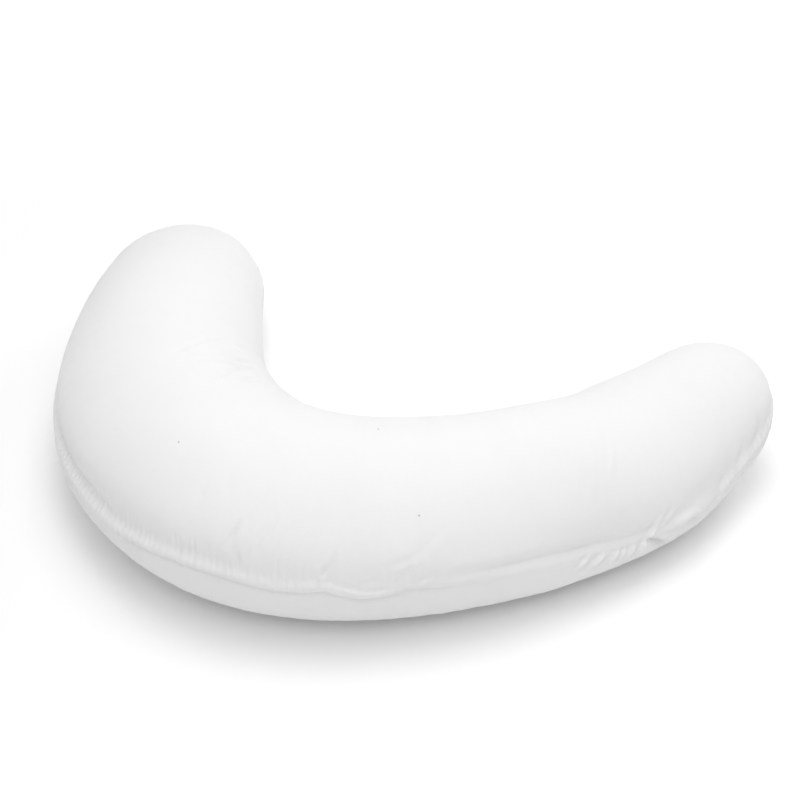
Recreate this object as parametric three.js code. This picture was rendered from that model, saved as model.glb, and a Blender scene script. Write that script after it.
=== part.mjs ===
// A moon-shaped nursing pillow, 190 cm round its outer edge, lying on a flat surface.
// Two crescents of white cotton are sewn together round their whole edge, turned and filled, so the
// pillow is one closed, filled body: a crown above, an underside flattened where it rests, one seam
// drawn in all round its side, and the folds that the filling and the seam leave in the cloth.
// Millimetres, +Z up. The outer edge of the crescent faces -Y, and the origin is on the surface,
// under the middle of the pillow's box.
import * as THREE from "three";

// The pillow is measured along the middle of its plan, from the tip of the left arm to the tip of the
// right arm. Every STEP along it is a section: the heading there in degrees from +X, the width from
// seam to seam, the height, and how high the outer seam runs.
const STEP = 120;
const SECTIONS = [
  { name: "left tip", heading: -95, width: 204, height: 162, seam: 82 },
  { name: "left arm", heading: -95, width: 236, height: 188, seam: 94 },
  { name: "left arm", heading: -92, width: 266, height: 212, seam: 106 },
  { name: "left arm", heading: -87, width: 288, height: 230, seam: 114 },
  { name: "bend", heading: -70, width: 310, height: 248, seam: 120 },
  { name: "bend", heading: -47, width: 306, height: 246, seam: 126 },
  { name: "bend", heading: -17, width: 294, height: 236, seam: 124 },
  { name: "belly", heading: 3, width: 282, height: 226, seam: 114 },
  { name: "belly", heading: 15, width: 268, height: 216, seam: 106 },
  { name: "right arm", heading: 24, width: 258, height: 206, seam: 88 },
  { name: "right arm", heading: 36, width: 246, height: 198, seam: 86 },
  { name: "right arm", heading: 39, width: 246, height: 198, seam: 98 },
  { name: "right tip", heading: 42, width: 310, height: 248, seam: 130 },
];
const LENGTH = STEP * (SECTIONS.length - 1);
const LEFT_END = 135; // length over which the left arm rounds off to its tip
const RIGHT_END = 220; // the same on the right arm, which is more pointed
const SINK = 12; // how far the underside would bulge below the surface if it didn't flatten on it
const UNDERSIDE_FULLNESS = 0.85; // under 1, the under panel bulges more squarely than an ellipse

// The seam draws the cloth in to a narrow valley all round.
const SEAM = { depth: 4, reach: 8 };

// A row is one soft trough in the cloth: its middle, as millimetres along the pillow and degrees
// round the section from the outer seam over the crown, its slant in degrees from the pillow's own
// direction, its length, its reach to each side and its depth.
const FOLDS = [
  { name: "long crease above the seam", along: 1030, around: 14, slant: 0, length: 300, reach: 10, depth: 5 },
  { name: "where it leaves the seam", along: 896, around: 9, slant: 35, length: 60, reach: 9, depth: 4 },
  { name: "pinch at the seam", along: 1160, around: 7, slant: 40, length: 60, reach: 9, depth: 6 },
  { name: "second pinch", along: 1218, around: 5, slant: 30, length: 50, reach: 9, depth: 5 },
  { name: "third pinch", along: 1268, around: 6, slant: 40, length: 50, reach: 9, depth: 4 },
  { name: "right end", along: 1310, around: 12, slant: 60, length: 70, reach: 9, depth: 3 },
  { name: "right end", along: 1348, around: 14, slant: 65, length: 70, reach: 9, depth: 3 },
  { name: "front of the bend", along: 672, around: 44, slant: 80, length: 110, reach: 12, depth: 2 },
  { name: "front of the bend", along: 714, around: 34, slant: 82, length: 150, reach: 10, depth: 3 },
  { name: "front of the bend", along: 742, around: 27, slant: 70, length: 110, reach: 10, depth: 3 },
  { name: "front of the belly", along: 797, around: 18, slant: 80, length: 70, reach: 10, depth: 2 },
  { name: "front of the belly", along: 884, around: 34, slant: 38, length: 80, reach: 12, depth: 2 },
  { name: "inside of the bend", along: 482, around: 112, slant: 124, length: 110, reach: 12, depth: 4 },
  { name: "inside of the bend", along: 540, around: 132, slant: 95, length: 120, reach: 13, depth: 5 },
  { name: "inside of the bend", along: 590, around: 126, slant: 85, length: 120, reach: 12, depth: 4 },
  { name: "inside of the bend", along: 648, around: 140, slant: 75, length: 90, reach: 13, depth: 4 },
  { name: "inside of the belly", along: 852, around: 116, slant: 70, length: 60, reach: 12, depth: 2 },
];

const POINTS_AROUND = 44;
const CROWDING = 0.7; // how much closer the points lie at the two seams than at the crown
const ROWS = { leftEnd: 14, rightEnd: 20, pitch: 14 };
const HAIR = 0.2; // step that finds a tangent of the surface

// One measure of the section at a distance along the pillow, on a spline through the table's rows.
function measure(column, along) {
  const last = SECTIONS.length - 1;
  const row = Math.min(Math.floor(along / STEP), last - 1);
  const part = along / STEP - row;
  const at = (k) => {
    if (k < 0) return 2 * SECTIONS[0][column] - SECTIONS[1][column];
    if (k > last) return 2 * SECTIONS[last][column] - SECTIONS[last - 1][column];
    return SECTIONS[k][column];
  };
  const slopeHere = (at(row + 1) - at(row - 1)) / 2;
  const slopeNext = (at(row + 2) - at(row)) / 2;
  const rise = at(row + 1) - at(row);
  return (
    at(row) +
    slopeHere * part +
    (3 * rise - 2 * slopeHere - slopeNext) * part ** 2 +
    (slopeHere + slopeNext - 2 * rise) * part ** 3
  );
}

// The middle of the plan, walked in short straight steps along the heading.
const STRIDE = 2;
const walk = [new THREE.Vector2(0, 0)];
for (let along = STRIDE / 2; along < LENGTH; along += STRIDE) {
  const heading = THREE.MathUtils.degToRad(measure("heading", along));
  const step = new THREE.Vector2(Math.cos(heading), Math.sin(heading)).multiplyScalar(STRIDE);
  walk.push(walk[walk.length - 1].clone().add(step));
}

function middle(along) {
  const place = Math.min(along / STRIDE, walk.length - 1);
  const before = Math.min(Math.floor(place), walk.length - 2);
  return walk[before].clone().lerp(walk[before + 1], place - before);
}

// A quarter ellipse from 0 at the tip to 1 where the arm's rounding is over.
function rounding(fromTip, reach) {
  const left = 1 - Math.min(Math.max(fromTip, 0) / reach, 1);
  return Math.sqrt(1 - left * left);
}

// The section at a distance along: its middle, its sideways direction, half its width, the height of
// its seam, and how far it rises above and bulges below the seam.
function section(along) {
  const heading = THREE.MathUtils.degToRad(measure("heading", along));
  const end = rounding(along, LEFT_END) * rounding(LENGTH - along, RIGHT_END);
  const seam = measure("seam", along);
  return {
    middle: middle(along),
    outward: new THREE.Vector2(Math.sin(heading), -Math.cos(heading)),
    halfWidth: (measure("width", along) / 2) * end,
    seam,
    crown: (measure("height", along) - seam) * end,
    belly: (seam + SINK) * end,
  };
}

// The cloth without seam and folds, at an angle round the section: 0 is the outer seam, a quarter
// turn the crown and a half turn the inner seam.
function smoothPoint(along, angle) {
  const { middle: centre, outward, halfWidth, seam, crown, belly } = section(along);
  const rise = Math.sin(angle);
  const lift = rise >= 0 ? crown * rise : -belly * (-rise) ** UNDERSIDE_FULLNESS;
  const plan = centre.addScaledVector(outward, halfWidth * Math.cos(angle));
  return new THREE.Vector3(plan.x, plan.y, seam + lift);
}

// The direction straight out of the cloth.
function outOf(along, angle) {
  const forward = smoothPoint(along + HAIR, angle).sub(smoothPoint(along - HAIR, angle));
  const turn = HAIR / section(along).halfWidth;
  const round = smoothPoint(along, angle + turn).sub(smoothPoint(along, angle - turn));
  return forward.cross(round).normalize();
}

// How far the seam draws the cloth in, by the distance over the cloth from the nearer seam.
function seamDepth(angle, radius) {
  const fromSeam = Math.min(angle, Math.abs(Math.PI - angle), 2 * Math.PI - angle) * radius;
  return SEAM.depth * Math.exp(-((fromSeam / SEAM.reach) ** 2));
}

// How far one fold draws the cloth in. It fades out towards both its ends.
function foldDepth(fold, along, angle, radius) {
  const slant = THREE.MathUtils.degToRad(fold.slant);
  const right = along - fold.along;
  const up = (angle - THREE.MathUtils.degToRad(fold.around)) * radius;
  const down = right * Math.cos(slant) + up * Math.sin(slant);
  const across = up * Math.cos(slant) - right * Math.sin(slant);
  if (Math.abs(down) >= fold.length / 2) return 0;
  const fade = Math.cos((Math.PI * down) / fold.length) ** 2;
  return fold.depth * fade * Math.exp(-((across / fold.reach) ** 2));
}

function clothPoint(along, angle) {
  const { halfWidth, crown } = section(along);
  const radius = (halfWidth + crown) / 2;
  let depth = seamDepth(angle, radius);
  for (const fold of FOLDS) depth += foldDepth(fold, along, angle, radius);
  const point = smoothPoint(along, angle).addScaledVector(outOf(along, angle), -depth);
  point.z = Math.max(point.z, 0);
  return point;
}

// A tip of the pillow, which the seam draws in too.
function tipPoint(along, inward) {
  const { middle: centre, outward, seam } = section(along);
  const forward = new THREE.Vector2(-outward.y, outward.x);
  const plan = centre.addScaledVector(forward, inward * SEAM.depth);
  return new THREE.Vector3(plan.x, plan.y, seam);
}

// The angles round a section, crowded towards the two seams.
function anglesAround() {
  const angles = [];
  for (let k = 0; k < POINTS_AROUND; k += 1) {
    const even = (2 * Math.PI * k) / POINTS_AROUND;
    angles.push(even - (CROWDING / 2) * Math.sin(2 * even));
  }
  return angles;
}

// Distances of the rows of points from the left tip: even turns round each end, and even steps between.
function rowsAlong() {
  const rows = [];
  const quarter = Math.PI / 2;
  for (let k = 1; k <= ROWS.leftEnd; k += 1) {
    rows.push(LEFT_END * (1 - Math.cos((quarter * k) / ROWS.leftEnd)));
  }
  const straight = LENGTH - LEFT_END - RIGHT_END;
  const steps = Math.round(straight / ROWS.pitch);
  for (let k = 1; k < steps; k += 1) rows.push(LEFT_END + (straight * k) / steps);
  for (let k = ROWS.rightEnd; k >= 1; k -= 1) {
    rows.push(LENGTH - RIGHT_END * (1 - Math.cos((quarter * k) / ROWS.rightEnd)));
  }
  return rows;
}

function pillowGeometry() {
  const positions = [];
  const push = (point) => positions.push(point.x, point.y, point.z);
  const rows = rowsAlong();
  for (const along of rows) {
    for (const angle of anglesAround()) push(clothPoint(along, angle));
  }
  const leftTip = rows.length * POINTS_AROUND;
  const rightTip = leftTip + 1;
  push(tipPoint(0, 1));
  push(tipPoint(LENGTH, -1));

  const index = [];
  const at = (row, k) => row * POINTS_AROUND + (k % POINTS_AROUND);
  for (let k = 0; k < POINTS_AROUND; k += 1) {
    index.push(leftTip, at(0, k), at(0, k + 1));
    index.push(rightTip, at(rows.length - 1, k + 1), at(rows.length - 1, k));
    for (let row = 0; row < rows.length - 1; row += 1) {
      index.push(at(row, k), at(row + 1, k), at(row + 1, k + 1));
      index.push(at(row, k), at(row + 1, k + 1), at(row, k + 1));
    }
  }
  const geometry = new THREE.BufferGeometry();
  geometry.setAttribute("position", new THREE.Float32BufferAttribute(positions, 3));
  geometry.setIndex(index);
  geometry.computeBoundingBox();
  const centre = geometry.boundingBox.getCenter(new THREE.Vector3());
  geometry.translate(-centre.x, -centre.y, -geometry.boundingBox.min.z);
  geometry.computeVertexNormals();
  return geometry;
}

function pillow() {
  const cotton = new THREE.MeshStandardMaterial({ color: 0xf6f6f5, roughness: 0.9, metalness: 0 });
  const mesh = new THREE.Mesh(pillowGeometry(), cotton);
  mesh.name = "pillow";
  return mesh;
}

const group = new THREE.Group();
group.add(pillow());

export default group;
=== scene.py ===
# A moon-shaped nursing pillow in white cotton, lying on a plain pale surface. Metres, +Z up.
import math

import bpy
import numpy as np
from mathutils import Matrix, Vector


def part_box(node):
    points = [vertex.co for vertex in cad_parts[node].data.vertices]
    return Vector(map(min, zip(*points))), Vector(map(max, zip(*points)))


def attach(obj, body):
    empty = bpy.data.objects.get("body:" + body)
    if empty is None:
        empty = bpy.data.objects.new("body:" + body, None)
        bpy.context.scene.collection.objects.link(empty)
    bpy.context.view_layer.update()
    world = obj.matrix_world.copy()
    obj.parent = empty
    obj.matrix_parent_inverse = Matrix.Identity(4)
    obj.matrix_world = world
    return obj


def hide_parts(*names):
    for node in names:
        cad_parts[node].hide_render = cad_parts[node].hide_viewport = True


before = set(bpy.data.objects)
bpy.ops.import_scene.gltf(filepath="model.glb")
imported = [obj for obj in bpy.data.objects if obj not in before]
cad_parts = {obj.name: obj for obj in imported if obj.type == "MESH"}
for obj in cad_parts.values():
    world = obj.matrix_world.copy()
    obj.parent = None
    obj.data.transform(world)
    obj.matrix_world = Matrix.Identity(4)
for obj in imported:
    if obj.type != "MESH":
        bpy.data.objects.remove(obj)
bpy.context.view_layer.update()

# The pillow is two crescents of plain white cotton, sewn together round their whole edge, turned the
# right way out and filled tight. It is measured along the middle of its plan, from the tip of the left
# arm to the tip of the right arm, and round its section, from the outer seam over the crown.
SECTION_SPACING = 0.120
SECTIONS = np.array(
    [
        (-95, 0.212, 0.162, 0.082),
        (-96, 0.241, 0.183, 0.094),
        (-92, 0.267, 0.215, 0.106),
        (-86.5, 0.290, 0.230, 0.114),
        (-70, 0.310, 0.247, 0.120),
        (-46.5, 0.307, 0.247, 0.126),
        (-17, 0.294, 0.236, 0.124),
        (3.5, 0.278, 0.228, 0.114),
        (14.5, 0.268, 0.218, 0.106),
        (26, 0.254, 0.213, 0.088),
        (34.5, 0.252, 0.188, 0.086),
        (39.5, 0.240, 0.201, 0.098),
        (43, 0.309, 0.245, 0.130),
    ],
    dtype=[(name, float) for name in ("heading", "width", "height", "seam")],
)
LENGTH = SECTION_SPACING * (len(SECTIONS) - 1)
LEFT_END, RIGHT_END = 0.135, 0.220  # lengths over which the two arms round off to their tips
SINK = 0.012  # how far the underside would bulge below the surface if it didn't flatten on it
UNDERSIDE_FULLNESS = 0.85
PLAN_STEPS = 720


def measure(column, along):
    """One measure of the section, on a spline through the rows of the table."""
    rows = SECTIONS[column]
    padded_rows = np.concatenate([[2 * rows[0] - rows[1]], rows, [2 * rows[-1] - rows[-2]]])
    place = np.clip(along / SECTION_SPACING, 0, len(rows) - 1)
    row = np.minimum(place.astype(int), len(rows) - 2)
    part = place - row
    before, here, following, beyond = (padded_rows[row + k] for k in range(4))
    slope_here = (following - before) / 2
    slope_next = (beyond - here) / 2
    rise = following - here
    return (
        here
        + slope_here * part
        + (3 * rise - 2 * slope_here - slope_next) * part**2
        + (slope_here + slope_next - 2 * rise) * part**3
    )


plan_along = np.linspace(0, LENGTH, PLAN_STEPS + 1)
plan_heading = np.radians(measure("heading", (plan_along[1:] + plan_along[:-1]) / 2))
plan_x = np.concatenate([[0], np.cumsum(np.cos(plan_heading) * np.diff(plan_along))])
plan_y = np.concatenate([[0], np.cumsum(np.sin(plan_heading) * np.diff(plan_along))])


def rounding(from_tip, reach):
    """A quarter ellipse, from 0 at the tip to 1 where the arm's rounding is over."""
    left = 1 - np.clip(from_tip / reach, 0, 1)
    return np.sqrt(1 - left**2)


def both_roundings(along):
    """The share of its full size that the section has, less than 1 near the two tips."""
    return rounding(along, LEFT_END) * rounding(LENGTH - along, RIGHT_END)


def half_girth(along):
    """Half the width of the section, and how far it rises above its seam."""
    end = both_roundings(along)
    return measure("width", along) / 2 * end, (measure("height", along) - measure("seam", along)) * end


def smooth_cloth(along, angle):
    """The cloth without seam and folds. Angle 0 is the outer seam, and pi the inner seam."""
    heading = np.radians(measure("heading", along))
    half_width, crown = half_girth(along)
    seam = measure("seam", along)
    belly = (seam + SINK) * both_roundings(along)
    side = half_width * np.cos(angle)
    rise = np.sin(angle)
    lift = np.where(rise >= 0, crown * rise, -belly * np.abs(rise) ** UNDERSIDE_FULLNESS)
    x = np.interp(along, plan_along, plan_x) + np.sin(heading) * side
    y = np.interp(along, plan_along, plan_y) - np.cos(heading) * side
    return np.stack([x, y, np.maximum(seam + lift, 0)], axis=-1)


# The mesh is a grid of rows across the pillow and columns along it, closed by a point at each tip.
# The columns crowd towards the two seams, and the rows turn evenly round each end.
ROWS_LEFT_END, ROWS_RIGHT_END, ROWS_BETWEEN = 30, 44, 190
TOP_COLUMNS, UNDER_COLUMNS = 34, 18
SEAM_CROWDING = 0.45

quarter_turns_left = np.linspace(0, math.pi / 2, ROWS_LEFT_END + 1)[1:]
quarter_turns_right = np.linspace(math.pi / 2, 0, ROWS_RIGHT_END + 1)[:-1]
row_along = np.concatenate(
    [
        LEFT_END * (1 - np.cos(quarter_turns_left)),
        np.linspace(LEFT_END, LENGTH - RIGHT_END, ROWS_BETWEEN + 1)[1:-1],
        LENGTH - RIGHT_END * (1 - np.cos(quarter_turns_right)),
    ]
)
top_share = np.linspace(0, 1, TOP_COLUMNS, endpoint=False)
under_share = np.linspace(1, 2, UNDER_COLUMNS, endpoint=False)
column_share = np.concatenate([top_share, under_share])
crowding = SEAM_CROWDING * np.sin(2 * math.pi * column_share) / (2 * math.pi)
column_angle = math.pi * (column_share - crowding)
rows, columns = len(row_along), len(column_angle)
left_tip, right_tip = rows * columns, rows * columns + 1

grid_along = np.repeat(row_along, columns)
grid_angle = np.tile(column_angle, rows)
points = smooth_cloth(grid_along, grid_angle)
tips = smooth_cloth(np.array([0.0, LENGTH]), np.array([0.0, 0.0]))
points = np.vstack([points, tips])

box_low, box_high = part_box("pillow")
middle_of_box = (np.array(box_low) + np.array(box_high)) / 2
middle_of_points = (points.min(axis=0) + points.max(axis=0)) / 2
to_frame = np.array([*(middle_of_box - middle_of_points)[:2], 0.0])
points += to_frame


def point_number(row, column):
    """The number of a point, where row -1 is the left tip and the row after the last the right tip."""
    if row == -1:
        return left_tip
    if row == rows:
        return right_tip
    return row * columns + column % columns


face_corners = []
for row in range(rows - 1):
    for column in range(columns):
        face_corners.append(((row, column), (row + 1, column), (row + 1, column + 1), (row, column + 1)))
for column in range(columns):
    face_corners.append(((-1, column), (0, column), (0, column + 1)))
    face_corners.append(((rows, column), (rows - 1, column + 1), (rows - 1, column)))
faces = [tuple(point_number(row, column) for row, column in corners) for corners in face_corners]

mesh = bpy.data.meshes.new("pillow_cover")
mesh.from_pydata([tuple(point) for point in points], [], faces)
pillow = bpy.data.objects.new("pillow_cover", mesh)
bpy.context.scene.collection.objects.link(pillow)
bpy.ops.object.select_all(action="DESELECT")
bpy.context.view_layer.objects.active = pillow
pillow.select_set(True)

# The cover's own map, in metres, with one island for each panel: how far along the pillow, and how
# far round from the outer seam, up over the top panel or down over the under panel.
rings = points[: rows * columns].reshape(rows, columns, 3)
steps_round = np.linalg.norm(np.roll(rings, -1, axis=1) - rings, axis=2)
way_round = np.concatenate([np.zeros((rows, 1)), np.cumsum(steps_round, axis=1)], axis=1)
top_girth = way_round[:, TOP_COLUMNS]
under_girth = way_round[:, -1] - top_girth
along_at_row = np.concatenate([[0.0], row_along, [LENGTH]])
flat_map = mesh.uv_layers.new(name="cloth")
corner = 0
for corners in face_corners:
    on_top = min(column for row, column in corners) < TOP_COLUMNS
    for row, column in corners:
        if row in (-1, rows):
            round_from_seam = 0.0
        else:
            round_from_seam = way_round[row, column] - (0 if on_top else way_round[row, -1])
        flat_map.data[corner].uv = (along_at_row[row + 1], round_from_seam)
        corner += 1

# The filling pushes the cover out. The seams and the flat underside stay where they are, and the cloth
# has a little too much length beside the outer seam and inside the bend, where it gathers.
FILLING_PRESSURE = 30
SPARE_CLOTH = 0.08
SPARE_BY_OUTER_SEAM = 0.05
SPARE_IN_BEND_PLACE, SPARE_IN_BEND_LENGTH, SPARE_IN_BEND_WIDTH = 0.56, 0.12, 0.09
ON_SURFACE = 0.0001
UNEVENNESS, UNEVENNESS_SEED = 0.0004, 7
PRESSING_FRAMES = 25
MOST_MOVEMENT = 0.0035


def bell(distance, reach):
    """A soft bump, 1 at no distance and fading out beyond its reach."""
    return np.exp(-((distance / reach) ** 2))


def read_vectors(mesh_data, name):
    """One vector for each vertex of the cover."""
    values = np.empty(3 * len(mesh_data))
    mesh_data.foreach_get(name, values)
    return values.reshape(-1, 3)


half_width, crown = half_girth(grid_along)
radius = (half_width + crown) / 2
from_outer = np.minimum(grid_angle, 2 * math.pi - grid_angle) * radius
from_inner = np.abs(grid_angle - math.pi) * radius
inside_bend = bell(grid_along - SPARE_IN_BEND_PLACE, SPARE_IN_BEND_LENGTH)
inside_bend *= bell(from_inner, SPARE_IN_BEND_WIDTH)
spare = np.clip(bell(from_outer, SPARE_BY_OUTER_SEAM) + inside_bend, 0, 1)
spare_group = pillow.vertex_groups.new(name="spare_cloth")
for number, weight in enumerate(spare):
    spare_group.add([number], float(weight), "REPLACE")
held_group = pillow.vertex_groups.new(name="held")
on_seams = [row * columns + column for row in range(rows) for column in (0, TOP_COLUMNS)]
on_surface = np.nonzero(points[:, 2] < ON_SURFACE)[0].tolist()
held_group.add(on_seams + on_surface + [left_tip, right_tip], 1.0, "REPLACE")

unevenness = np.random.default_rng(UNEVENNESS_SEED).normal(0, UNEVENNESS, len(points))
uneven = points + read_vectors(mesh.vertex_normals, "vector") * unevenness[:, None]
mesh.vertices.foreach_set("co", uneven.ravel())

cloth = pillow.modifiers.new("Cloth", "CLOTH")
cloth.settings.quality = 5
cloth.settings.mass = 0.05
cloth.settings.air_damping = 0.5
cloth.settings.tension_stiffness = cloth.settings.compression_stiffness = 25
cloth.settings.shear_stiffness = 12
cloth.settings.bending_stiffness = 0.01
cloth.settings.tension_damping = cloth.settings.compression_damping = 0.5
cloth.settings.shear_damping = 0.5
cloth.settings.bending_damping = 0.05
cloth.settings.vertex_group_mass = "held"
cloth.settings.pin_stiffness = 1.0
cloth.settings.vertex_group_shrink = "spare_cloth"
cloth.settings.shrink_min = 0.0
cloth.settings.shrink_max = -SPARE_CLOTH
cloth.settings.use_pressure = True
cloth.settings.uniform_pressure_force = FILLING_PRESSURE
cloth.settings.effector_weights.gravity = 0
cloth.collision_settings.use_collision = False
cloth.collision_settings.use_self_collision = False
for frame_number in range(1, PRESSING_FRAMES + 1):
    bpy.context.scene.frame_set(frame_number)
bpy.ops.object.modifier_apply(modifier=cloth.name)
bpy.context.scene.frame_set(1)
movement = read_vectors(mesh.vertices, "co") - points
distance = np.linalg.norm(movement, axis=1, keepdims=True) + 1e-9  # never quite zero
movement *= MOST_MOVEMENT * np.tanh(distance / MOST_MOVEMENT) / distance
mesh.vertices.foreach_set("co", (points + movement).ravel())

# One subdivision, and a second one in strips beside the two seams and where the cloth lies in folds. The
# slanting gathers are finer still. A patch is from and to along, then from and to up from the outer seam.
OUTER_STRIP = (-0.01, LENGTH + 0.01, -0.016, 0.018)
INNER_STRIP = 0.0065
TUCKED_CLOTH = (0.44, 0.80, -0.016, 0.042)
CREASED_CLOTH = (0.80, 1.24, -0.016, 0.030)
GATHERED_CLOTH = (1.03, 1.24, -0.034, 0.018)
FOLDED_CLOTH = (
    (0.44, 0.66, 0.22, 0.38),
    (0.69, 0.77, 0.03, 0.09),
    (0.78, 0.94, 0.02, 0.08),
    (1.05, 1.15, 0.08, 0.16),
)
SLANTING_GATHERS = (1.045, 1.15, -0.032, 0.001)
DOUBLED_ROWS = (0.44, 0.80, 0.001, 0.041)
LEVEL = 0.0004  # the most that an edge along the pillow climbs

finer = pillow.modifiers.new("Finer", "SUBSURF")
finer.levels = finer.render_levels = 1
finer.uv_smooth = "NONE"
bpy.ops.object.modifier_apply(modifier=finer.name)


def cloth_map():
    """The cover's own map at its vertices."""
    along_and_round = np.empty(2 * len(mesh.loops))
    mesh.uv_layers["cloth"].data.foreach_get("uv", along_and_round)
    vertex_of_corner = np.empty(len(mesh.loops), dtype=int)
    mesh.loops.foreach_get("vertex_index", vertex_of_corner)
    at_vertex = np.zeros((len(mesh.vertices), 2))
    at_vertex[vertex_of_corner] = along_and_round.reshape(-1, 2)
    return at_vertex[:, 0], at_vertex[:, 1]


def from_inner_seam(along, round_from_seam):
    """How far a point of either panel is from the inner seam."""
    top = np.interp(along, along_at_row, np.concatenate([[0], top_girth, [0]]))
    under = np.interp(along, along_at_row, np.concatenate([[0], under_girth, [0]]))
    return np.maximum(np.where(round_from_seam >= 0, top, under) - np.abs(round_from_seam), 0)


def in_patch(patch, along, round_from_seam):
    """Which points lie in a patch of the cover's map."""
    first, last, low, high = patch
    return (along > first) & (along < last) & (round_from_seam > low) & (round_from_seam < high)


def select_none(elements):
    """Deselects all vertices, all edges or all faces of the cover."""
    elements.foreach_set("select", np.zeros(len(elements), dtype=bool))


def halve_selected():
    """Cuts the edges of all that is selected in half."""
    bpy.ops.object.mode_set(mode="EDIT")
    bpy.ops.mesh.subdivide(number_cuts=1)
    bpy.ops.mesh.select_all(action="DESELECT")
    bpy.ops.object.mode_set(mode="OBJECT")


def refine_faces(refined):
    """Cuts each face in four whose points are all to be refined."""
    select_none(mesh.vertices)
    select_none(mesh.edges)
    for polygon in mesh.polygons:
        polygon.select = all(refined[vertex] for vertex in polygon.vertices)
    halve_selected()


bpy.context.tool_settings.mesh_select_mode = (False, False, True)
along, round_from_seam = cloth_map()
refined = from_inner_seam(along, round_from_seam) < INNER_STRIP
for patch in (OUTER_STRIP, TUCKED_CLOTH, CREASED_CLOTH, GATHERED_CLOTH, *FOLDED_CLOTH):
    refined |= in_patch(patch, along, round_from_seam)
refine_faces(refined)
refine_faces(in_patch(SLANTING_GATHERS, *cloth_map()))

# The rows are spread out on the outside of the bend, so they are doubled where the cloth gathers there.
bpy.context.tool_settings.mesh_select_mode = (False, True, False)
along, round_from_seam = cloth_map()
in_tucks = in_patch(DOUBLED_ROWS, along, round_from_seam)
select_none(mesh.vertices)
select_none(mesh.polygons)
for edge in mesh.edges:
    one, other = edge.vertices
    level = abs(round_from_seam[one] - round_from_seam[other]) < LEVEL
    edge.select = bool(in_tucks[one] and in_tucks[other] and level)
halve_selected()

# The seam is a narrow valley. Its allowance lifts the top panel into a soft bead just above it, with a
# hollow above the bead, and over the hollow and the bead the cloth is drawn into fine tucks. All of these
# are strong round the bend and weak on the belly, where the panels lie smooth, and the outer seam wanders
# up and down a little where the cloth was eased in. The inner seam lies in slack cloth and draws in less.
# Each seam shapes its own half of the panels, so the two run into each other at the tips.
SEAM_DEPTH, SEAM_REACH = 0.0024, 0.0022
BEAD_HEIGHT, BEAD_PLACE, BEAD_REACH = 0.0014, 0.0070, 0.0060
HOLLOW_DEPTH, HOLLOW_PLACE, HOLLOW_REACH = 0.0026, 0.0190, 0.0100
BROAD_HOLLOW_DEPTH, BROAD_HOLLOW_PLACE, BROAD_HOLLOW_REACH = 0.0020, 0.0270, 0.0180
BEAD_STARTS_OVER = 0.002
TUCK_PITCH, TUCK_DEPTH, TUCK_WIDTH, TUCK_REACH = 0.0098, 0.0019, 0.0022, 0.0350
PITCH_VARIES, DEPTH_VARIES, REACH_VARIES = (0.85, 1.16), (0.7, 1.15), (0.6, 1.2)
TUCKS_LEAN = (-0.08, 0.08)
SPARE_TUCKS = 4  # for a seam whose tucks happen to be narrow
TUCKS_ON_BEAD, TUCKS_DEEPEN_FROM, TUCKS_DEEPEN_OVER = 0.4, 0.003, 0.010
UNDER_PANEL_SHARE = 0.4  # how much of the tucks and the bead shows on the under panel
HALF_ENDS_AT, HALF_FADES_OVER = 0.65, 0.3  # shares of a panel's width
SWAY_REACH = 0.032
OUTER_SEAM = np.array(
    [
        (0.00, 0.4, 0.3, 0.0, 0.3, 0.0),
        (0.06, 0.4, 0.4, 0.3, 0.4, 0.0),
        (0.42, 0.3, 0.6, 0.9, 1.2, -2.0),
        (0.50, 0.3, 0.8, 1.5, 2.1, -6.0),
        (0.54, 0.3, 0.9, 1.8, 2.3, -9.0),
        (0.58, 0.4, 1.0, 1.8, 2.1, -13.0),
        (0.61, 0.7, 1.0, 1.6, 1.7, -11.0),
        (0.63, 1.0, 1.0, 1.4, 1.4, -8.6),
        (0.66, 1.0, 1.0, 1.0, 1.2, -3.1),
        (0.69, 1.0, 1.0, 0.8, 0.9, -1.0),
        (0.73, 1.0, 1.0, 0.7, 0.6, -4.9),
        (0.75, 1.0, 1.0, 0.5, 0.5, -7.3),
        (0.77, 1.0, 1.0, 0.4, 0.5, -4.5),
        (0.79, 1.0, 0.9, 0.3, 0.5, 1.7),
        (0.82, 1.1, 0.5, 0.2, 0.4, -10.8),
        (0.84, 1.1, 0.4, 0.2, 0.4, -8.2),
        (0.87, 0.9, 0.4, 0.2, 0.4, 4.2),
        (0.90, 0.8, 0.4, 0.1, 0.3, 2.2),
        (0.94, 0.6, 0.3, 0.1, 0.2, 3.0),
        (0.98, 0.5, 0.2, 0.1, 0.0, 3.5),
        (1.02, 0.25, 0.1, 0.1, 0.0, 3.6),
        (1.07, 0.15, 0.1, 0.1, 0.0, 5.6),
        (1.10, 0.4, 0.1, 0.2, 0.0, 0.9),
        (1.12, 0.6, 0.1, 0.2, 0.0, -2.4),
        (1.14, 0.7, 0.1, 0.1, 0.0, -3.8),
        (1.18, 0.8, 0.1, 0.0, 0.2, -7.0),
        (1.22, 0.6, 0.4, 0.3, 0.4, -10.0),
        (1.27, 0.5, 0.6, 0.7, 0.7, -9.0),
        (1.34, 0.5, 0.6, 0.9, 0.9, -7.0),
        (1.40, 0.4, 0.5, 0.8, 0.7, -3.0),
        (1.44, 0.4, 0.3, 0.0, 0.4, 0.0),
    ],
    dtype=[(name, float) for name in ("along", "line", "bead", "tucks", "hollow", "sway_mm")],
)
INNER_SEAM = {"line": 0.5, "bead": 0.45, "tucks": 0.4, "hollow": 0.3}
OUTER_SEED, INNER_SEED = 11, 23

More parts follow.
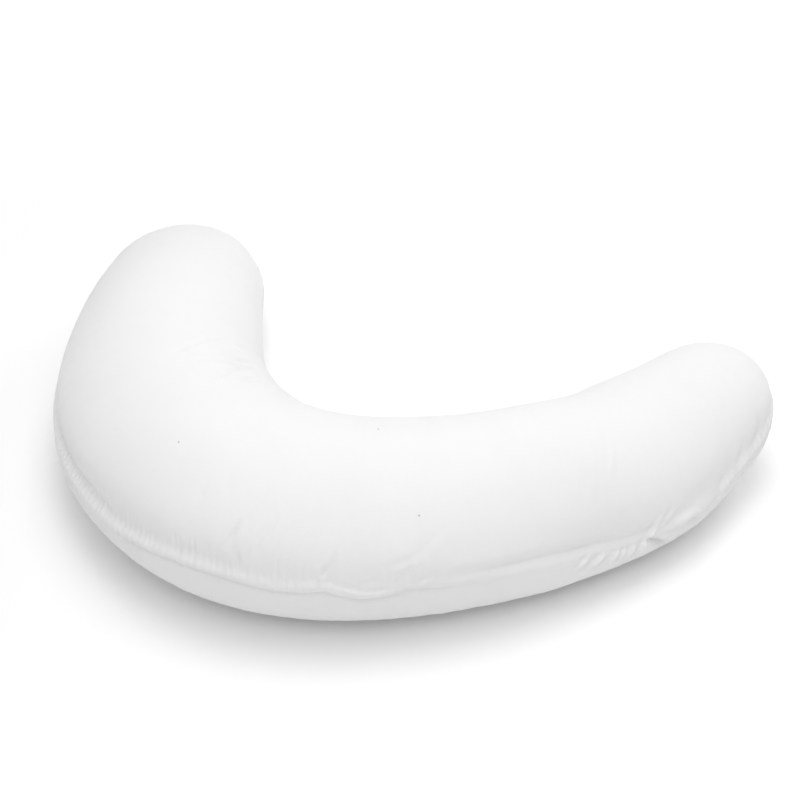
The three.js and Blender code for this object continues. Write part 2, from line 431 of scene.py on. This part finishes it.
along, round_from_seam = cloth_map()
from_inner = from_inner_seam(along, round_from_seam)
on_top = round_from_seam >= 0
outer_seam = {}
for name in ("line", "bead", "tucks", "hollow", "sway_mm"):
    outer_seam[name] = np.interp(along, OUTER_SEAM["along"], OUTER_SEAM[name])
panel_width = np.abs(round_from_seam) + from_inner
lift = np.zeros(len(along))
for seam_column, from_seam, strength, seed in (
    (0, np.abs(round_from_seam), outer_seam, OUTER_SEED),
    (TOP_COLUMNS, from_inner, INNER_SEAM, INNER_SEED),
):
    seam_points = np.vstack([points[left_tip], rings[:, seam_column], points[right_tip]])
    seam_lengths = np.linalg.norm(np.diff(seam_points, axis=0), axis=1)
    seam_way = np.concatenate([[0], np.cumsum(seam_lengths)])
    along_seam = np.interp(along, along_at_row, seam_way)
    chance = np.random.default_rng(seed)
    tuck_count = int(seam_way[-1] / TUCK_PITCH) + SPARE_TUCKS
    tucks = np.cumsum(TUCK_PITCH * chance.uniform(*PITCH_VARIES, tuck_count))
    tuck_depth = TUCK_DEPTH * chance.uniform(*DEPTH_VARIES, tuck_count)
    tuck_reach = TUCK_REACH * chance.uniform(*REACH_VARIES, tuck_count)
    tuck_slant = chance.uniform(*TUCKS_LEAN, tuck_count)
    nearest = np.searchsorted(tucks, along_seam)
    gathers = np.zeros(len(along))
    for neighbour in range(-2, 2):
        tuck = np.clip(nearest + neighbour, 0, tuck_count - 1)
        aside = along_seam - tucks[tuck] - tuck_slant[tuck] * from_seam
        fade = np.exp(-((from_seam / tuck_reach[tuck]) ** 4))
        gathers -= tuck_depth[tuck] * fade * bell(aside, TUCK_WIDTH)
    deepening = np.clip((from_seam - TUCKS_DEEPEN_FROM) / TUCKS_DEEPEN_OVER, 0, 1)
    over_bead = TUCKS_ON_BEAD + (1 - TUCKS_ON_BEAD) * deepening
    seam_lift = strength["tucks"] * gathers * np.where(on_top, over_bead, UNDER_PANEL_SHARE)
    seam_lift -= strength["line"] * SEAM_DEPTH * np.exp(-from_seam / SEAM_REACH)
    bead = BEAD_HEIGHT * bell(from_seam - BEAD_PLACE, BEAD_REACH)
    hollow = HOLLOW_DEPTH * bell(from_seam - HOLLOW_PLACE, HOLLOW_REACH)
    hollow += BROAD_HOLLOW_DEPTH * bell(from_seam - BROAD_HOLLOW_PLACE, BROAD_HOLLOW_REACH)
    on_top_panel = strength["bead"] * bead - strength["hollow"] * hollow
    on_under_panel = UNDER_PANEL_SHARE * strength["bead"] * bead
    seam_lift += np.where(on_top, on_top_panel, on_under_panel) * (1 - np.exp(-from_seam / BEAD_STARTS_OVER))
    share_of_panel = (from_seam + 1e-6) / (panel_width + 2e-6)  # one half at the tips, where both are zero
    lift += seam_lift * np.clip((HALF_ENDS_AT - share_of_panel) / HALF_FADES_OVER, 0, 1)
seam_sway = outer_seam["sway_mm"] / 1000 * bell(round_from_seam, SWAY_REACH)

# Folds in the cover. Each has its place along the pillow and up from the outer seam, the angle at which
# it runs up from the pillow's own direction, its length, its half width and its depth. A negative depth
# is a ridge. The cloth swells a little on both sides of a fold.
SWELLING, SWELLS_AT = 0.3, 2  # a share of the depth, and half widths away
FOLDS = np.array(
    [
        # The long crease above the seam on the belly: a broad fold with a sharper line at its foot.
        (0.900, 0.0100, 8, 0.160, 0.0090, 0.0012),
        (0.980, 0.0165, 5, 0.160, 0.0090, 0.0030),
        (1.060, 0.0155, -1, 0.160, 0.0090, 0.0031),
        (1.140, 0.0125, 1, 0.150, 0.0090, 0.0028),
        (1.220, 0.0250, 8, 0.140, 0.0085, 0.0008),
        (1.070, 0.0220, -2, 0.280, 0.0200, 0.0032),
        (0.980, 0.0175, 5, 0.160, 0.0036, 0.0009),
        (1.060, 0.0165, -1, 0.160, 0.0036, 0.0009),
        (1.135, 0.0135, 1, 0.130, 0.0036, 0.0009),
        # The pinch at the seam, with the two ridges over it and the rolled edge to its right.
        (1.163, -0.016, -41, 0.080, 0.0038, 0.0084),
        (1.1545, 0.0120, 48, 0.060, 0.0034, -0.0040),
        (1.170, 0.016, 32, 0.056, 0.0032, -0.0028),
        (1.196, 0.006, 3, 0.058, 0.0055, -0.0032),
        (1.217, -0.005, -30, 0.036, 0.0052, 0.0034),
        # The slanting gathers under the seam, to the left of the pinch, and the full place below them.
        (1.059, -0.007, 52, 0.036, 0.0026, -0.0036),
        (1.068, -0.009, 52, 0.036, 0.0024, 0.0020),
        (1.077, -0.011, 51, 0.042, 0.0026, -0.0040),
        (1.089, -0.010, 56, 0.036, 0.0024, 0.0026),
        (1.100, -0.012, 61, 0.034, 0.0024, -0.0034),
        (1.1045, -0.010, 62, 0.034, 0.0022, 0.0024),
        (1.109, -0.011, 64, 0.036, 0.0022, -0.0028),
        (1.115, -0.011, 70, 0.038, 0.0024, 0.0026),
        (1.122, -0.012, 70, 0.044, 0.0024, -0.0030),
        (1.129, -0.014, 70, 0.040, 0.0024, 0.0026),
        (1.135, -0.016, 67, 0.058, 0.0026, -0.0038),
        (1.045, -0.040, 15, 0.120, 0.0140, -0.0026),
        # Short folds at the right end.
        (1.268, 0.011, 40, 0.050, 0.0070, 0.0030),
        (1.310, 0.019, 60, 0.060, 0.0060, 0.0025),
        (1.348, 0.020, 65, 0.060, 0.0060, 0.0025),
        # The full front of the belly.
        (0.860, 0.0300, 0, 0.460, 0.0500, -0.0040),
        # The front of the bend.
        (0.712, 0.057, 80, 0.052, 0.0027, 0.0028),
        (0.718, 0.031, 97, 0.046, 0.0027, 0.0018),
        (0.677, 0.097, 96, 0.060, 0.0036, 0.0010),
        (0.697, 0.117, 109, 0.070, 0.0036, 0.0011),
        (0.738, 0.056, 77, 0.100, 0.0030, 0.0015),
        # The front of the belly, with the thin ridge where the seam bows down.
        (0.791, 0.030, 74, 0.030, 0.0024, 0.0020),
        (0.798, 0.040, 86, 0.060, 0.0028, 0.0018),
        (0.789, 0.018, 80, 0.018, 0.0035, -0.0012),
        (0.827, 0.0075, -6, 0.100, 0.0022, -0.0010),
        (0.827, 0.0125, -6, 0.100, 0.0032, 0.0008),
        (0.830, 0.021, 25, 0.060, 0.0036, 0.0009),
        (0.864, 0.024, 38, 0.050, 0.0050, 0.0008),
        (0.883, 0.008, 42, 0.026, 0.0026, -0.0013),
        (0.855, 0.040, 23, 0.080, 0.0045, 0.0008),
        (0.893, 0.064, 40, 0.120, 0.0045, 0.0007),
        # Faint folds on the right arm.
        (1.124, 0.137, 57, 0.095, 0.0038, 0.0008),
        (1.126, 0.113, 61, 0.090, 0.0038, 0.0007),
        (1.096, 0.107, 64, 0.095, 0.0038, 0.0007),
        (1.075, 0.103, 68, 0.065, 0.0038, 0.0006),
        # The inside of the bend, where the cloth is crowded together.
        (0.492, 0.258, 122, 0.066, 0.0046, 0.0030),
        (0.465, 0.293, 132, 0.092, 0.0050, 0.0030),
        (0.533, 0.274, 73, 0.070, 0.0046, 0.0018),
        (0.528, 0.325, 110, 0.110, 0.0056, 0.0028),
        (0.574, 0.267, 99, 0.068, 0.0042, 0.0027),
        (0.555, 0.311, 123, 0.104, 0.0052, 0.0034),
        (0.476, 0.341, 71, 0.040, 0.0056, 0.0020),
        (0.587, 0.335, -8, 0.080, 0.0046, 0.0014),
        (0.545, 0.161, 90, 0.070, 0.0046, 0.0010),
        (0.389, 0.269, 131, 0.060, 0.0050, 0.0013),
        (0.544, 0.320, 119, 0.180, 0.0140, 0.0030),
        (0.599, 0.302, 101, 0.086, 0.0046, 0.0024),
        (0.648, 0.336, 75, 0.090, 0.0090, 0.0026),
        (0.853, 0.264, 59, 0.070, 0.0055, 0.0018),
    ],
    dtype=[(name, float) for name in ("along", "up", "slant", "length", "reach", "depth")],
)
for fold in FOLDS:
    right = along - fold["along"]
    up = round_from_seam - fold["up"]
    slant = math.radians(fold["slant"])
    down_fold = right * math.cos(slant) + up * math.sin(slant)
    across = np.abs(up * math.cos(slant) - right * math.sin(slant))
    inside = np.abs(down_fold) < fold["length"] / 2
    fade = np.where(inside, np.cos(math.pi * down_fold / fold["length"]) ** 2, 0)
    crease = bell(across, fold["reach"])
    swelling = SWELLING * bell(across - SWELLS_AT * fold["reach"], fold["reach"])
    lift -= fold["depth"] * fade * (crease - swelling)

FLAT = 0.00001  # what lies lower than this rests on the surface and stays flat
resting = read_vectors(mesh.vertices, "co")
formed = resting + read_vectors(mesh.vertex_normals, "vector") * lift[:, None]
formed[:, 2] += seam_sway
formed[:, 2] = np.where(resting[:, 2] < FLAT, 0, np.maximum(formed[:, 2], 0))
mesh.vertices.foreach_set("co", formed.ravel())
mesh.update()
bpy.ops.object.shade_smooth()

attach(pillow, "root")
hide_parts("pillow")

# The cotton is plain-woven and white: two threads to the millimetre, thicker here and thinner there, in
# a cloth that is slightly rumpled all over, with three specks of lint caught on it.
THREAD = 0.0005
SLUB_STRETCH = (1.0, 9.0, 1.0)  # the thick places are nine times as long as they are wide
WASHED_DULL, WASHED_BRIGHT = (0.800, 0.800, 0.800, 1), (0.830, 0.830, 0.830, 1)
SPECKS = ((0.632, 0.1405), (0.8485, 0.2385), (0.882, 0.0945))  # along, and up from the outer seam
SPECK_SIZE = 0.0011
LINT_GREY = (0.42, 0.40, 0.37, 1)

cotton = bpy.data.materials.new("white cotton")
cotton.use_nodes = True
nodes, links = cotton.node_tree.nodes, cotton.node_tree.links
cotton_shader = nodes["Principled BSDF"]
cotton_shader.inputs["Specular IOR Level"].default_value = 0.25
cotton_shader.inputs["Sheen Weight"].default_value = 0.12
cotton_shader.inputs["Sheen Roughness"].default_value = 0.5
cotton_shader.inputs["Sheen Tint"].default_value = (1, 1, 1, 1)


def math_node(operation, first, second):
    """A Math node on two sockets or numbers, and its result."""
    node = nodes.new("ShaderNodeMath")
    node.operation = operation
    for socket, value in zip(node.inputs, (first, second)):
        if isinstance(value, (int, float)):
            socket.default_value = value
        else:
            links.new(value, socket)
    return node.outputs["Value"]


def thread_wave(way):
    """A wave over the threads that are passed on the way along or round the cover."""
    node = nodes.new("ShaderNodeMath")
    node.operation = "SINE"
    links.new(math_node("MULTIPLY", way, math.pi / THREAD), node.inputs[0])
    return node.outputs["Value"]


def cloth_noise(coordinates, scale, detail):
    """Noise over the cloth, from 0 to 1."""
    node = nodes.new("ShaderNodeTexNoise")
    node.inputs["Scale"].default_value = scale
    node.inputs["Detail"].default_value = detail
    links.new(coordinates, node.inputs["Vector"])
    return node.outputs["Fac"]


cloth_uv = nodes.new("ShaderNodeUVMap")
cloth_uv.uv_map = "cloth"
ways = nodes.new("ShaderNodeSeparateXYZ")
links.new(cloth_uv.outputs["UV"], ways.inputs["Vector"])
in_space = nodes.new("ShaderNodeTexCoord").outputs["Object"]
thick_and_thin = nodes.new("ShaderNodeMapping")
thick_and_thin.inputs["Scale"].default_value = SLUB_STRETCH
links.new(cloth_uv.outputs["UV"], thick_and_thin.inputs["Vector"])

weave = math_node("MULTIPLY", thread_wave(ways.outputs["X"]), thread_wave(ways.outputs["Y"]))
slubs = cloth_noise(thick_and_thin.outputs["Vector"], scale=110, detail=2)
rumples = cloth_noise(in_space, scale=42, detail=3)
grain = cloth_noise(in_space, scale=230, detail=2)
surface = None
for height, distance, strength in (
    (rumples, 0.0012, 0.35),
    (grain, 0.0004, 0.35),
    (slubs, 0.0003, 0.3),
    (weave, 0.00012, 0.6),
):
    raised = nodes.new("ShaderNodeBump")
    raised.inputs["Distance"].default_value = distance
    raised.inputs["Strength"].default_value = strength
    links.new(height, raised.inputs["Height"])
    if surface is not None:
        links.new(surface, raised.inputs["Normal"])
    surface = raised.outputs["Normal"]
links.new(surface, cotton_shader.inputs["Normal"])

dryness = nodes.new("ShaderNodeMapRange")
dryness.inputs["To Min"].default_value = 0.82
dryness.inputs["To Max"].default_value = 0.95
links.new(grain, dryness.inputs["Value"])
links.new(dryness.outputs["Result"], cotton_shader.inputs["Roughness"])

washed = nodes.new("ShaderNodeMix")
washed.data_type = "RGBA"
washed.inputs["A"].default_value = WASHED_DULL
washed.inputs["B"].default_value = WASHED_BRIGHT
links.new(cloth_noise(in_space, scale=11, detail=4), washed.inputs["Factor"])
lint = 0
for speck_along, speck_up in SPECKS:
    nearest_point = np.argmin((along - speck_along) ** 2 + (round_from_seam - speck_up) ** 2)
    away = nodes.new("ShaderNodeVectorMath")
    away.operation = "DISTANCE"
    away.inputs[1].default_value = formed[nearest_point].tolist()
    links.new(in_space, away.inputs[0])
    speck = math_node("LESS_THAN", away.outputs["Value"], SPECK_SIZE)
    lint = math_node("MAXIMUM", lint, speck)
with_lint = nodes.new("ShaderNodeMix")
with_lint.data_type = "RGBA"
with_lint.inputs["B"].default_value = LINT_GREY
links.new(washed.outputs["Result"], with_lint.inputs["A"])
links.new(lint, with_lint.inputs["Factor"])
links.new(with_lint.outputs["Result"], cotton_shader.inputs["Base Color"])
pillow.data.materials.append(cotton)

# The pillow lies on a plain, matt white sweep of paper that reaches far out on every side. Away from the
# pillow it glows a little, as on a light table, so that it stays white to the edge of the camera's view.
SWEEP_SIZE = 60
PAPER_WHITE = (0.95, 0.95, 0.95, 1)
GLOW_STARTS, GLOW_IS_FULL, GLOW = 0.8, 1.8, 0.25

bpy.ops.mesh.primitive_plane_add(size=SWEEP_SIZE, location=(0, 0, 0))
sweep = bpy.context.active_object
sweep.name = "white_sweep"
paper = bpy.data.materials.new("white paper")
paper.use_nodes = True
paper_nodes, paper_links = paper.node_tree.nodes, paper.node_tree.links
paper_shader = paper_nodes["Principled BSDF"]
paper_shader.inputs["Base Color"].default_value = PAPER_WHITE
paper_shader.inputs["Roughness"].default_value = 1.0
paper_shader.inputs["Specular IOR Level"].default_value = 0.0
paper_shader.inputs["Emission Color"].default_value = (1, 1, 1, 1)
paper_place = paper_nodes.new("ShaderNodeTexCoord")
from_middle = paper_nodes.new("ShaderNodeVectorMath")
from_middle.operation = "LENGTH"
paper_links.new(paper_place.outputs["Object"], from_middle.inputs[0])
glow = paper_nodes.new("ShaderNodeMapRange")
glow.interpolation_type = "SMOOTHSTEP"
glow.inputs["From Min"].default_value = GLOW_STARTS
glow.inputs["From Max"].default_value = GLOW_IS_FULL
glow.inputs["To Max"].default_value = GLOW
paper_links.new(from_middle.outputs["Value"], glow.inputs["Value"])
paper_links.new(glow.outputs["Result"], paper_shader.inputs["Emission Strength"])
sweep.data.materials.append(paper)

# The light is a bright white room with five soft round lamps about the pillow, the strongest of them
# overhead, so the crown is near white and the sides fall into a soft shade.
ROOM_STRENGTH = 0.566
LAMP_SIZE, LAMP_DISTANCE = 1.6, 2.6
LAMPS = (  # the side that it stands on and how high it is, in degrees, and its power in watts
    ("overhead", 0, 90, 23.4),
    ("front", -90, 60, 12.6),
    ("right", 0, 45, 2.2),
    ("back_left", 135, 30, 2.4),
    ("back_right", 45, 30, 11.8),
)

world = bpy.data.worlds.new("white room")
bpy.context.scene.world = world
world.use_nodes = True
room = world.node_tree.nodes["Background"]
room.inputs["Color"].default_value = (1, 1, 1, 1)
room.inputs["Strength"].default_value = ROOM_STRENGTH
for name, bearing, height, watts in LAMPS:
    bearing, height = math.radians(bearing), math.radians(height)
    lamp_data = bpy.data.lights.new(f"soft lamp {name}", "AREA")
    lamp_data.shape = "DISK"
    lamp_data.size = LAMP_SIZE
    lamp_data.energy = watts
    lamp = bpy.data.objects.new(f"soft_lamp_{name}", lamp_data)
    bpy.context.scene.collection.objects.link(lamp)
    lamp.location = (
        LAMP_DISTANCE * math.cos(bearing) * math.cos(height),
        LAMP_DISTANCE * math.sin(bearing) * math.cos(height),
        LAMP_DISTANCE * math.sin(height),
    )
    lamp.rotation_euler = (math.pi / 2 - height, 0, bearing + math.pi / 2)
bpy.context.scene.view_settings.view_transform = "Standard"

# The camera looks along +Y and 40 degrees down, from 2.19 m away, at a point low over the middle of
# the crescent.
CAMERA_TARGET = (-0.0157, -0.0117, 0.097)
CAMERA_DISTANCE = 2.188
LOOKS_DOWN = math.radians(40)
LENS, SENSOR = 70, 36

camera_data = bpy.data.cameras.new("camera")
camera = bpy.data.objects.new("camera", camera_data)
bpy.context.scene.collection.objects.link(camera)
camera_data.lens = LENS
camera_data.sensor_width = SENSOR
camera.location = (
    CAMERA_TARGET[0],
    CAMERA_TARGET[1] - CAMERA_DISTANCE * math.cos(LOOKS_DOWN),
    CAMERA_TARGET[2] + CAMERA_DISTANCE * math.sin(LOOKS_DOWN),
)
camera.rotation_euler = (math.pi / 2 - LOOKS_DOWN, 0, 0)
bpy.context.scene.camera = camera
